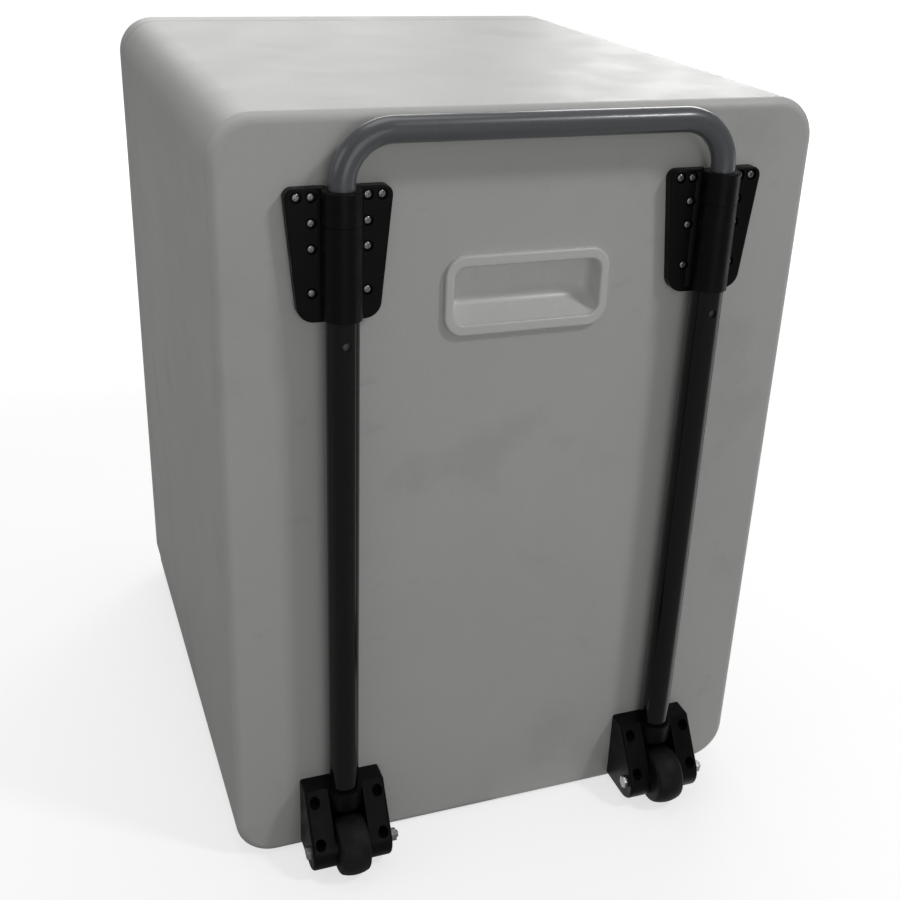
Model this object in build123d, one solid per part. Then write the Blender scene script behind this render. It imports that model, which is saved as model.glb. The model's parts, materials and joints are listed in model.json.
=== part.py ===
from build123d import *
import os
from math import asin, atan2, cos, hypot, sin, sqrt

# Upright wheeled cooler. Millimetres, +Z up, origin on the floor under the middle of the cabinet.
# The trolley handle and the wheels are on the -Y back face, and the door is on the +Y front.

# Clearances
FIT_GAP = 0.1
RUN_GAP = 0.05
SCREW_GAP = 0.25
CORNER_EASE = 1.0
HIDDEN_GAP = 0.4

# Cabinet
BODY_WIDTH = 480.0
BODY_HEIGHT = 642.0
BODY_DEPTH = 480.0
CORNER_RADIUS = 34.0
BACK_EDGE_RADIUS = 8.0
SHELL_WALL = 4.0
FOAM_THICKNESS = 37.0
LINER_WALL = 3.0
LINER_RADIUS = 20.0

# Door
DOOR_GAP = 1.5
DOOR_THICKNESS = 36.5
DOOR_FLOOR_GAP = 4.0
DOOR_EDGE_RADIUS = 6.0
DOOR_WALL = 4.0
DOOR_PANEL = 3.0
GASKET_INSET = 13.0
GASKET_WIDTH = 14.0
GASKET_GROOVE = 1.0
GASKET_FREE_GAP = 0.3

# Hand-grip pocket in the back face
POCKET_WIDTH = 120.5
POCKET_HEIGHT = 45.5
POCKET_DEPTH = 18.5
POCKET_RADIUS = 9.0
POCKET_WALL = 2.5
POCKET_RIM = 7.5
POCKET_RIM_TALL = 9.0
POCKET_RIM_PROUD = 4.0
POCKET_RIM_EDGE = 2.0
POCKET_DROP = 140.0
POCKET_SLOPE_RISE = 14.0
POCKET_SLOPE_START = 3.0
POCKET_SCOOP_RADIUS = 5.0

# Tubes and handle
TUBE_INSET = 90.0
TUBE_STANDOFF = 16.0
TUBE_RADIUS = 12.5
TUBE_WALL = 1.5
HANDLE_RADIUS = 9.5
HANDLE_WALL = 1.5
HANDLE_BEND = 37.0
HANDLE_SEAT_GAP = 3.0

# Tube brackets and guide collars
BRACKET_DROP = 50.5
BRACKET_HEIGHT = 98.0
BRACKET_TOP_HALF = 40.0
BRACKET_BOTTOM_HALF = 30.5
BRACKET_TOP_RADIUS = 7.0
BRACKET_BOTTOM_RADIUS = 13.0
BRACKET_PLATE = 9.0
BRACKET_EDGE = 1.5
SLEEVE_WALL = 2.0
SLEEVE_LIFT = 4.5
SLEEVE_BLEND = 3.5
COLLAR_HEIGHT = 24.5
COLLAR_SPIGOT = 22.0
COLLAR_EDGE = 1.2
COLLAR_SEAM = 0.6
COLLAR_SLOT_HALF = 9.0
SCREW_ROW_INSET = 6.0
SCREW_INNER_X = 20.5
SCREW_OUTER_X = 31.0
SCREW_COLUMN = (18.5, 37.0, 69.5)

# Pan-head screws
SCREW_HEAD_RADIUS = 3.0
SCREW_HEAD_HEIGHT = 2.2
SCREW_SHANK_RADIUS = 1.75
SCREW_BITE = 12.0
RECESS_RADIUS = 4.3
RECESS_DEPTH = 2.6

# Snap buttons and handle end plugs
LOCK_DROP = 18.0
LOCK_HOLE_RADIUS = 3.2
BUTTON_RADIUS = 2.9
BUTTON_TIP_GAP = 0.3
BUTTON_STEM = 7.0
BUTTON_FLANGE_RADIUS = 4.2
BUTTON_FLANGE = 1.4
BUTTON_SEAT_GAP = 0.6
BUTTON_ABOVE_END = 24.0
PLUG_FLANGE = 8.0
PLUG_SPIGOT = 14.0
PLUG_FLOOR_GAP = 12.0
SPRING_STRIP = 0.8
SPRING_WIDTH = 6.0
SPRING_RISE = 26.0

# Wheel blocks
BLOCK_HALF = 35.0
BLOCK_TOP = 75.0
BLOCK_BOTTOM = 6.0
BLOCK_TOP_DEPTH = 18.0
BLOCK_NOSE_DIP = 0.25
BLOCK_NOSE_RADIUS = 18.0
BLOCK_NOSE_OUT = 31.0
BLOCK_EDGE = 2.5
SOCKET_DEPTH = 15.0
SOCKET_FLOOR = 3.0
SOCKET_WALL = 3.0
BLOCK_SCREW_X = 27.5
BLOCK_SCREW_Z = (37.3, 66.5)
BLOCK_FLANGE = 8.0
BLOCK_RECESS_RADIUS = 4.5
BLOCK_HEAD_RADIUS = 4.0
BLOCK_HEAD_HEIGHT = 3.0
BLOCK_SHANK_RADIUS = 2.2

# Wheels and axles
WHEEL_RADIUS = 26.0
WHEEL_EDGE_RADIUS = 23.0
WHEEL_HALF_WIDTH = 13.0
WHEEL_EDGE_ROUND = 2.5
WHEEL_SIDE_GAP = 2.0
WHEEL_ROOM = 4.0
WHEEL_FLOOR_GAP = 1.0
HUB_RADIUS = 12.0
HUB_END_GAP = 0.5
AXLE_OUT = 38.0
AXLE_RADIUS = 3.0
AXLE_TAIL = 2.0
HEX_FLATS_RADIUS = 5.0
BOLT_HEAD = 4.0
NUT_HEIGHT = 5.0

# Hinges
HINGE_INSET = 130.0
HINGE_OFFSET = 7.0
HINGE_BARREL_RADIUS = 5.5
HINGE_PIN_RADIUS = 2.5
HINGE_PIN_HEAD_RADIUS = 4.5
HINGE_PIN_HEAD = 2.0
HINGE_HALF_HEIGHT = 30.0
HINGE_MIDDLE_HALF = 10.0
HINGE_LEAF = 2.5
HINGE_LEAF_REACH = 34.0
HINGE_LEAF_RADIUS = 4.0
HINGE_SCREW_REACH = 22.0
HINGE_SCREW_RISE = 20.0

# Turn latch
LATCH_EDGE_INSET = 76.0
LATCH_DISH_RADIUS = 26.0
LATCH_DISH_WALL = 2.0
LATCH_DISH_DEPTH = 14.0
LATCH_RIM = 5.0
LATCH_RIM_PROUD = 2.0
LATCH_BARREL_RADIUS = 9.0
LATCH_SPINDLE_RADIUS = 5.0
LATCH_BAR_HALF_LENGTH = 22.0
LATCH_BAR_HALF_WIDTH = 6.0
LATCH_BAR_EDGE = 2.0
LATCH_BAR_LIFT = 1.0
CAM_THICKNESS = 4.0
CAM_HALF_WIDTH = 7.0
CAM_REACH = 26.0
CAM_DOOR_GAP = 10.0
CAM_SCREW_HEAD_RADIUS = 6.5
CAM_SCREW_HEAD = 3.0
CAM_SCREW_RADIUS = 2.0
CAM_SCREW_LENGTH = 14.0
KEEPER_PLATE = 3.0
KEEPER_HALF_HEIGHT = 16.0
KEEPER_LIP = 3.5
KEEPER_LIP_REACH = 18.0
KEEPER_LENGTH = 34.0
KEEPER_CAM_GAP = 2.5
KEEPER_SCREW_RISE = 9.0

# Places worked out from the sizes above
BACK_Y = -BODY_DEPTH / 2
FRONT_Y = BODY_DEPTH / 2
SIDE_X = BODY_WIDTH / 2
INNER_X = SIDE_X - SHELL_WALL - FOAM_THICKNESS - LINER_WALL
DOOR_BACK_Y = FRONT_Y + DOOR_GAP
DOOR_FRONT_Y = DOOR_BACK_Y + DOOR_THICKNESS
POCKET_Z = BODY_HEIGHT - POCKET_DROP
TUBE_X = SIDE_X - TUBE_INSET
TUBE_Y = BACK_Y - TUBE_STANDOFF
TUBE_BORE = TUBE_RADIUS - TUBE_WALL
HANDLE_BORE = HANDLE_RADIUS - HANDLE_WALL
BRACKET_TOP = BODY_HEIGHT - BRACKET_DROP
BRACKET_BOTTOM = BRACKET_TOP - BRACKET_HEIGHT
SLEEVE_RADIUS = TUBE_RADIUS + SLEEVE_WALL
SOCKET_RADIUS = TUBE_RADIUS + SOCKET_WALL
SLEEVE_BOTTOM = BRACKET_BOTTOM + SLEEVE_LIFT
COLLAR_SEAT = BRACKET_TOP - COLLAR_HEIGHT
BAR_Z = BRACKET_TOP + HANDLE_SEAT_GAP + HANDLE_BEND
TUBE_END = BLOCK_TOP - SOCKET_DEPTH
SLOT_TOP = TUBE_END - SOCKET_FLOOR
AXLE_Y = BACK_Y - AXLE_OUT
AXLE_Z = WHEEL_RADIUS + WHEEL_FLOOR_GAP
SLOT_HALF = WHEEL_HALF_WIDTH + WHEEL_SIDE_GAP
SLOT_BACK = AXLE_OUT - WHEEL_RADIUS - WHEEL_ROOM
PLUG_BOTTOM = TUBE_END + PLUG_FLOOR_GAP
HANDLE_END = PLUG_BOTTOM + PLUG_FLANGE
BUTTON_Z = HANDLE_END + BUTTON_ABOVE_END
LOCK_Z = SLEEVE_BOTTOM - LOCK_DROP
HINGE_X = SIDE_X + HINGE_OFFSET
HINGE_Y = FRONT_Y + DOOR_GAP / 2
HINGE_HEIGHTS = (HINGE_INSET, BODY_HEIGHT - HINGE_INSET)
LATCH_X = -SIDE_X + LATCH_EDGE_INSET
LATCH_Z = BODY_HEIGHT / 2
DISH_FLOOR_Y = DOOR_FRONT_Y - LATCH_DISH_DEPTH
CAM_FRONT_Y = DOOR_BACK_Y - CAM_DOOR_GAP
CAM_BACK_Y = CAM_FRONT_Y - CAM_THICKNESS
SIDES = {"left": -1, "right": 1}
OUTWARD = (0, -1, 0)

NODES = {}


def keep(name, *shapes):
    """Keep a sub-part, one solid or a group of equal ones, under its own name."""
    solids = [solid for shape in shapes for solid in shape.solids()]
    NODES[name] = solids[0] if len(solids) == 1 else Compound(solids)


def rod(start, direction, radius, length):
    """A round bar from a start point along a direction."""
    return Solid.make_cylinder(radius, length, Plane(origin=start, z_dir=direction))


def block(low, high):
    """A plain block between two corners."""
    size = [b - a for a, b in zip(low, high)]
    return Pos(*low) * Box(*size, align=Align.MIN)


def slab(width, z_low, z_high, radius, y_back, y_front):
    """A rounded upright panel between two depths."""
    plane = Plane((0, y_front, (z_low + z_high) / 2), x_dir=(1, 0, 0), z_dir=OUTWARD)
    return extrude(plane * RectangleRounded(width, z_high - z_low, radius), amount=y_front - y_back)


def inset_slab(inset, y_back, y_front, ease=0.0):
    """A panel that follows the cabinet outline at an inset from its outer faces."""
    radius = max(CORNER_RADIUS - inset, LINER_RADIUS) + ease
    return slab(BODY_WIDTH - 2 * inset, inset, BODY_HEIGHT - inset, radius, y_back, y_front)


def door_slab(inset, y_back, y_front, ease=0.0):
    """A panel that follows the door outline at an inset from its outer faces."""
    radius = max(CORNER_RADIUS - inset, LINER_RADIUS) + ease
    low = DOOR_FLOOR_GAP + inset
    return slab(BODY_WIDTH - 2 * inset, low, BODY_HEIGHT - inset, radius, y_back, y_front)


def back_edges(shape):
    """Edges round the face that lies furthest back."""
    return shape.faces().sort_by(Axis.Y)[0].edges()


def front_edges(shape):
    """Edges round the face that lies furthest forward."""
    return shape.faces().sort_by(Axis.Y)[-1].edges()


def pan_screw(seat, inward, head_radius, head_height, shank_radius, length):
    """A pan-head screw with a domed head, seated at a point and driven inward."""
    outward = tuple(-c for c in inward)
    head = rod(seat, outward, head_radius, head_height)
    head = fillet(head.edges().sort_by_distance(Vector(*seat))[-1], head_height * 0.6)
    slot_start = tuple(s + o * head_height * 0.5 for s, o in zip(seat, outward))
    drive = rod(slot_start, outward, head_radius * 0.35, head_height)
    return head + rod(seat, inward, shank_radius, length) - drive


def bracket_screw_points(x):
    """Screw axes of one bracket, as points across and up."""
    row = BRACKET_TOP - SCREW_ROW_INSET
    points = []
    for hand in (-1, 1):
        points.append((x + hand * SCREW_OUTER_X, row))
        points.append((x + hand * SCREW_INNER_X, row))
        points += [(x + hand * SCREW_INNER_X, row - drop) for drop in SCREW_COLUMN]
    return points


def block_screw_points(x):
    """Screw axes of one wheel block, as points across and up."""
    return [(x + hand * BLOCK_SCREW_X, z) for hand in (-1, 1) for z in BLOCK_SCREW_Z]


def back_screw_holes():
    """Holes that the trolley screws make through the back wall and into the foam."""
    holes = []
    for hand in SIDES.values():
        for px, pz in bracket_screw_points(hand * TUBE_X):
            start = (px, BACK_Y - FIT_GAP, pz)
            holes.append(rod(start, (0, 1, 0), SCREW_SHANK_RADIUS + SCREW_GAP, SCREW_BITE + SCREW_GAP))
        for px, pz in block_screw_points(hand * TUBE_X):
            start = (px, BACK_Y - FIT_GAP, pz)
            holes.append(rod(start, (0, 1, 0), BLOCK_SHANK_RADIUS + SCREW_GAP, SCREW_BITE + SCREW_GAP))
    return holes


def hinge_screw_points(hand):
    """Screw axes of the leaves on one side of the hinge line, as depth and height."""
    y = HINGE_Y + hand * HINGE_SCREW_REACH
    rises = (-HINGE_SCREW_RISE, 0, HINGE_SCREW_RISE)
    return [(y, middle + rise) for middle in HINGE_HEIGHTS for rise in rises]


def hinge_screw_holes(hand):
    """Holes that the hinge screws make in a side wall."""
    radius = SCREW_SHANK_RADIUS + SCREW_GAP
    length = SCREW_BITE + SCREW_GAP
    return [rod((SIDE_X + FIT_GAP, y, z), (-1, 0, 0), radius, length) for y, z in hinge_screw_points(hand)]


def keeper_screw_points():
    """Screw axes of the latch keeper, as depth and height."""
    y = CAM_BACK_Y - KEEPER_CAM_GAP - KEEPER_LENGTH / 3
    return [(y, LATCH_Z + rise) for rise in (-KEEPER_SCREW_RISE, KEEPER_SCREW_RISE)]


def keeper_screw_holes():
    """Holes that the keeper screws make in the liner wall and the foam behind it."""
    radius = SCREW_SHANK_RADIUS + SCREW_GAP
    length = SCREW_BITE + SCREW_GAP
    return [rod((-INNER_X + FIT_GAP, y, z), (-1, 0, 0), radius, length) for y, z in keeper_screw_points()]


def pocket_outline(grow, y_back, y_front):
    """The rounded outline of the hand-grip pocket, grown sideways and taken between two depths."""
    half = POCKET_HEIGHT / 2 + grow
    width = POCKET_WIDTH + 2 * grow
    return slab(width, POCKET_Z - half, POCKET_Z + half, POCKET_RADIUS + grow, y_back, y_front)


def pocket_volume(grow):
    """The scooped inside of the hand-grip pocket, grown outward by a wall."""
    half = POCKET_HEIGHT / 2
    deep = BACK_Y + POCKET_DEPTH
    points = [
        (BACK_Y, POCKET_Z - half),
        (BACK_Y + POCKET_SLOPE_START, POCKET_Z - half),
        (deep, POCKET_Z - half + POCKET_SLOPE_RISE),
        (deep, POCKET_Z + half),
        (BACK_Y, POCKET_Z + half),
    ]
    profile = Polygon(*points, align=None)
    heel = profile.vertices().sort_by_distance((*points[2], 0))[0]
    profile = fillet(heel, POCKET_SCOOP_RADIUS)
    if grow:
        profile = offset(profile, grow, kind=Kind.INTERSECTION)
    scoop = extrude(Plane.YZ * profile, amount=BODY_WIDTH / 4, both=True)
    return scoop & pocket_outline(grow, BACK_Y, deep + grow)


def make_cabinet():
    """Outer shell, foam and liner of the cabinet, and the hand-grip pocket."""
    foam_back = BACK_Y + SHELL_WALL
    liner_inset = SHELL_WALL + FOAM_THICKNESS
    liner_back = BACK_Y + liner_inset
    flange_back = FRONT_Y - LINER_WALL

    shell = inset_slab(0, BACK_Y, FRONT_Y)
    shell = fillet(back_edges(shell), BACK_EDGE_RADIUS)
    shell -= inset_slab(SHELL_WALL, foam_back, FRONT_Y)
    shell -= pocket_outline(POCKET_WALL + HIDDEN_GAP, BACK_Y, foam_back)
    shell -= back_screw_holes() + hinge_screw_holes(-1)
    keep("outer_shell", shell)

    liner = inset_slab(liner_inset, liner_back, flange_back)
    liner += inset_slab(SHELL_WALL + FIT_GAP, flange_back, FRONT_Y)
    liner -= inset_slab(liner_inset + LINER_WALL, liner_back + LINER_WALL, FRONT_Y)
    liner -= keeper_screw_holes()
    keep("inner_liner", liner)

    foam = inset_slab(SHELL_WALL, foam_back, flange_back, CORNER_EASE)
    foam -= inset_slab(liner_inset, liner_back, flange_back, -CORNER_EASE)
    foam -= pocket_outline(POCKET_WALL + HIDDEN_GAP, foam_back, BACK_Y + POCKET_DEPTH + POCKET_WALL)
    foam -= back_screw_holes() + hinge_screw_holes(-1) + keeper_screw_holes()
    keep("insulation_foam", foam)

    rim_front = BACK_Y - POCKET_RIM_PROUD
    rim_half = POCKET_HEIGHT / 2 + POCKET_RIM_TALL
    rim_width = POCKET_WIDTH + 2 * POCKET_RIM
    rim_low, rim_high = POCKET_Z - rim_half, POCKET_Z + rim_half
    pocket = slab(rim_width, rim_low, rim_high, POCKET_RADIUS + POCKET_RIM, rim_front, BACK_Y)
    pocket += pocket_volume(POCKET_WALL)
    pocket -= pocket_volume(0)
    pocket -= pocket_outline(0, rim_front, BACK_Y)
    pocket = fillet(back_edges(pocket), POCKET_RIM_EDGE)
    keep("grip_pocket", pocket)


def make_door():
    """Door skin, foam, inner panel and gasket."""
    panel_front = DOOR_BACK_Y + DOOR_PANEL
    foam_front = DOOR_FRONT_Y - DOOR_WALL
    latch_point = (LATCH_X, DOOR_BACK_Y - 1, LATCH_Z)
    barrel_hole = rod(latch_point, (0, 1, 0), LATCH_BARREL_RADIUS + FIT_GAP, DOOR_THICKNESS)
    dish_back = DISH_FLOOR_Y - LATCH_DISH_WALL
    dish_radius = LATCH_DISH_RADIUS + LATCH_DISH_WALL + FIT_GAP
    dish_hole = rod((LATCH_X, dish_back, LATCH_Z), (0, 1, 0), dish_radius, DOOR_THICKNESS)

    skin = fillet(front_edges(door_slab(0, DOOR_BACK_Y, DOOR_FRONT_Y)), DOOR_EDGE_RADIUS)
    skin -= door_slab(DOOR_WALL, DOOR_BACK_Y, foam_front)
    skin -= [dish_hole] + hinge_screw_holes(1)
    keep("door_skin", skin)

    gasket_outer = GASKET_INSET
    gasket_inner = GASKET_INSET + GASKET_WIDTH
    groove_front = DOOR_BACK_Y + GASKET_GROOVE
    groove = door_slab(gasket_outer - FIT_GAP, DOOR_BACK_Y, groove_front)
    groove -= door_slab(gasket_inner + FIT_GAP, DOOR_BACK_Y, groove_front)
    panel = door_slab(DOOR_WALL + FIT_GAP, DOOR_BACK_Y, panel_front) - groove - barrel_hole
    keep("door_inner_panel", panel)

    gasket_back = FRONT_Y + GASKET_FREE_GAP
    gasket = door_slab(gasket_outer, gasket_back, groove_front)
    gasket -= door_slab(gasket_inner, gasket_back, groove_front)
    keep("door_gasket", gasket)

    foam = door_slab(DOOR_WALL, panel_front, foam_front, CORNER_EASE)
    foam -= [barrel_hole, dish_hole] + hinge_screw_holes(1)
    keep("door_foam", foam)


def make_bracket(name, x):
    """One tube bracket, its guide collar and its screws."""
    top, bottom = BRACKET_TOP, BRACKET_BOTTOM
    plane = Plane((x, BACK_Y, 0), x_dir=(1, 0, 0), z_dir=OUTWARD)
    corners = [
        (-BRACKET_BOTTOM_HALF, bottom),
        (BRACKET_BOTTOM_HALF, bottom),
        (BRACKET_TOP_HALF, top),
        (-BRACKET_TOP_HALF, top),
    ]
    outline = Polygon(*corners, align=None)
    outline = fillet(outline.vertices().sort_by(Axis.Y)[:2], BRACKET_BOTTOM_RADIUS)
    outline = fillet(outline.vertices().sort_by(Axis.Y)[-2:], BRACKET_TOP_RADIUS)
    plate = extrude(plane * outline, amount=BRACKET_PLATE)
    plate = fillet(back_edges(plate), BRACKET_EDGE)

    up = (0, 0, 1)
    plate_front = BACK_Y - BRACKET_PLATE
    web = Pos(x, (BACK_Y + plate_front) / 2) * Rectangle(2 * (SLEEVE_RADIUS + SLEEVE_BLEND), BRACKET_PLATE)
    web += Pos(x, TUBE_Y) * Circle(SLEEVE_RADIUS)
    joins = [
        corner
        for corner in web.vertices()
        if abs(corner.Y - plate_front) < FIT_GAP and abs(corner.X - x) < SLEEVE_RADIUS
    ]
    web = fillet(joins, SLEEVE_BLEND)
    web_height = top - BRACKET_EDGE - SLEEVE_BOTTOM
    body = plate + extrude(Pos(0, 0, SLEEVE_BOTTOM) * web, amount=web_height)
    body -= rod((x, TUBE_Y, bottom - 1), up, TUBE_RADIUS + FIT_GAP, COLLAR_SEAT - bottom + 1)
    body -= rod((x, TUBE_Y, COLLAR_SEAT), up, SLEEVE_RADIUS + FIT_GAP, COLLAR_HEIGHT + 1)
    slot_low = (x - COLLAR_SLOT_HALF, TUBE_Y, COLLAR_SEAT)
    body -= block(slot_low, (x + COLLAR_SLOT_HALF, BACK_Y + 1, top + 1))
    seat_y = plate_front + RECESS_DEPTH
    for px, pz in bracket_screw_points(x):
        body -= rod((px, seat_y, pz), OUTWARD, RECESS_RADIUS, RECESS_DEPTH + 1)
        body -= rod((px, BACK_Y + 1, pz), OUTWARD, SCREW_SHANK_RADIUS + SCREW_GAP, BRACKET_PLATE + 1)
    keep(f"{name}_bracket", body)

    collar = rod((x, TUBE_Y, COLLAR_SEAT), up, SLEEVE_RADIUS, COLLAR_HEIGHT)
    collar = fillet(collar.edges().group_by(Axis.Z)[-1], COLLAR_EDGE)
    collar = fillet(collar.edges().group_by(Axis.Z)[0], COLLAR_SEAM)
    spigot_bottom = COLLAR_SEAT - COLLAR_SPIGOT
    collar += rod((x, TUBE_Y, spigot_bottom), up, TUBE_BORE - FIT_GAP, COLLAR_SPIGOT)
    guide_length = COLLAR_SPIGOT + COLLAR_HEIGHT + 2
    collar -= rod((x, TUBE_Y, spigot_bottom - 1), up, HANDLE_RADIUS + RUN_GAP, guide_length)
    keep(f"{name}_guide_collar", collar)

    length = SCREW_BITE + BACK_Y - seat_y
    screws = [
        pan_screw((px, seat_y, pz), (0, 1, 0), SCREW_HEAD_RADIUS, SCREW_HEAD_HEIGHT, SCREW_SHANK_RADIUS, length)
        for px, pz in bracket_screw_points(x)
    ]
    keep(f"{name}_bracket_screws", *screws)


def make_outer_tube(name, x):
    """One black outer tube with its lock hole."""
    up = (0, 0, 1)
    length = COLLAR_SEAT - TUBE_END
    tube = rod((x, TUBE_Y, TUBE_END), up, TUBE_RADIUS, length)
    tube -= rod((x, TUBE_Y, TUBE_END - 1), up, TUBE_BORE, length + 2)
    tube -= rod((x, TUBE_Y, LOCK_Z), OUTWARD, LOCK_HOLE_RADIUS, TUBE_RADIUS + 1)
    keep(f"{name}_outer_tube", tube)


def make_handle():
    """The grey U-shaped handle tube, with a button hole near the end of each leg."""
    points = [
        (-TUBE_X, TUBE_Y, HANDLE_END),
        (-TUBE_X, TUBE_Y, BAR_Z),
        (TUBE_X, TUBE_Y, BAR_Z),
        (TUBE_X, TUBE_Y, HANDLE_END),
    ]
    path = FilletPolyline(*points, radius=HANDLE_BEND)
    section = Plane(points[0], z_dir=(0, 0, 1)) * (Circle(HANDLE_RADIUS) - Circle(HANDLE_BORE))
    handle = sweep(section, path=path)
    for hand in SIDES.values():
        start = (hand * TUBE_X, TUBE_Y, BUTTON_Z)
        handle -= rod(start, OUTWARD, BUTTON_RADIUS + FIT_GAP, HANDLE_RADIUS + 1)
    keep("u_handle", handle)


def make_leg_end(name, x):
    """The end plug, snap button and button spring inside one leg of the handle."""
    up = (0, 0, 1)
    plug = rod((x, TUBE_Y, PLUG_BOTTOM), up, TUBE_BORE - FIT_GAP, PLUG_FLANGE)
    plug += rod((x, TUBE_Y, HANDLE_END), up, HANDLE_BORE - FIT_GAP, PLUG_SPIGOT)
    keep(f"{name}_leg_plug", plug)

    tip = TUBE_BORE - BUTTON_TIP_GAP
    flange_out = sqrt(HANDLE_BORE**2 - BUTTON_FLANGE_RADIUS**2) - BUTTON_SEAT_GAP - BUTTON_FLANGE
    button = rod((x, TUBE_Y - tip, BUTTON_Z), (0, 1, 0), BUTTON_RADIUS, BUTTON_STEM)
    dome = button.edges().sort_by(Axis.Y)[0]
    button = fillet(dome, BUTTON_RADIUS / 3)
    button += rod((x, TUBE_Y - flange_out, BUTTON_Z), OUTWARD, BUTTON_FLANGE_RADIUS, BUTTON_FLANGE)
    keep(f"{name}_snap_button", button)

    near = TUBE_Y - tip + BUTTON_STEM + SPRING_STRIP / 2 + FIT_GAP
    far = TUBE_Y + HANDLE_BORE - SPRING_STRIP - HIDDEN_GAP
    low = BUTTON_Z - BUTTON_RADIUS
    bend = (far - near) / 2
    leg_top = low + SPRING_RISE
    line = Line((near, low), (near, leg_top)) + RadiusArc((near, leg_top), (far, leg_top), bend)
    line += Line((far, leg_top), (far, low))
    strip = trace(line, line_width=SPRING_STRIP)
    spring = extrude(Plane.YZ.offset(x) * strip, amount=SPRING_WIDTH / 2, both=True)
    keep(f"{name}_button_spring", spring)


def block_profile():
    """Side outline of a wheel block, as distances out from the back wall and up."""
    nose = (BLOCK_NOSE_OUT, BLOCK_BOTTOM + BLOCK_NOSE_RADIUS)
    run = (nose[0] - BLOCK_TOP_DEPTH, nose[1] - BLOCK_TOP)
    turn = atan2(run[1], run[0]) + asin(BLOCK_NOSE_RADIUS / hypot(*run))
    tangent = (nose[0] - BLOCK_NOSE_RADIUS * sin(turn), nose[1] + BLOCK_NOSE_RADIUS * cos(turn))
    middle = turn / 2 - BLOCK_NOSE_DIP
    tip = (nose[0] + BLOCK_NOSE_RADIUS * cos(middle), nose[1] + BLOCK_NOSE_RADIUS * sin(middle))
    under = (nose[0], BLOCK_BOTTOM)
    front = Polyline((0, BLOCK_BOTTOM), (0, BLOCK_TOP), (BLOCK_TOP_DEPTH, BLOCK_TOP), tangent)
    outline = front + ThreePointArc(tangent, tip, under) + Line(under, (0, BLOCK_BOTTOM))
    return make_face(outline)


def make_wheel_block(name, x):
    """One wheel block with its tube socket, wheel slot, axle bore and screws."""
    plane = Plane((x - BLOCK_HALF, BACK_Y, 0), x_dir=OUTWARD, z_dir=(1, 0, 0))
    flip = Plane((x + BLOCK_HALF, BACK_Y, 0), x_dir=OUTWARD, z_dir=(-1, 0, 0))
    upright = plane if plane.y_dir.Z > 0 else flip
    body = extrude(upright * block_profile(), amount=2 * BLOCK_HALF)
    rims = [
        edge
        for edge in body.edges()
        if abs(abs(edge.center().X - x) - BLOCK_HALF) < FIT_GAP and edge.center().Y < BACK_Y - FIT_GAP
    ]
    body = fillet(rims, BLOCK_EDGE)
    up = (0, 0, 1)
    reach = AXLE_OUT + WHEEL_RADIUS
    channel_low = (x - SLOT_HALF, BACK_Y - reach, SLOT_TOP)
    body -= block(channel_low, (x + SLOT_HALF, TUBE_Y, BLOCK_TOP + 1))
    body += rod((x, TUBE_Y, SLOT_TOP), up, SOCKET_RADIUS, BLOCK_TOP - SLOT_TOP)
    slot_low = (x - SLOT_HALF, BACK_Y - reach, -1)
    body -= block(slot_low, (x + SLOT_HALF, BACK_Y - SLOT_BACK, SLOT_TOP))
    body -= rod((x, TUBE_Y, TUBE_END), up, TUBE_RADIUS + FIT_GAP, SOCKET_DEPTH + 1)
    body -= rod((x - BLOCK_HALF - 1, AXLE_Y, AXLE_Z), (1, 0, 0), AXLE_RADIUS + RUN_GAP, 2 * BLOCK_HALF + 2)
    seat_y = BACK_Y - BLOCK_FLANGE
    for px, pz in block_screw_points(x):
        body -= rod((px, seat_y, pz), OUTWARD, BLOCK_RECESS_RADIUS, reach)
        body -= rod((px, BACK_Y + 1, pz), OUTWARD, BLOCK_SHANK_RADIUS + SCREW_GAP, BLOCK_FLANGE + 2)
    keep(f"{name}_wheel_block", body)

    length = SCREW_BITE + BLOCK_FLANGE
    screws = [
        pan_screw((px, seat_y, pz), (0, 1, 0), BLOCK_HEAD_RADIUS, BLOCK_HEAD_HEIGHT, BLOCK_SHANK_RADIUS, length)
        for px, pz in block_screw_points(x)
    ]
    keep(f"{name}_block_screws", *screws)


def hexagon(start, direction, height):
    """A hexagon head or nut blank standing on a point."""
    plane = Plane(origin=start, z_dir=direction)
    return extrude(plane * RegularPolygon(HEX_FLATS_RADIUS, 6, major_radius=False), amount=height)


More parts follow.
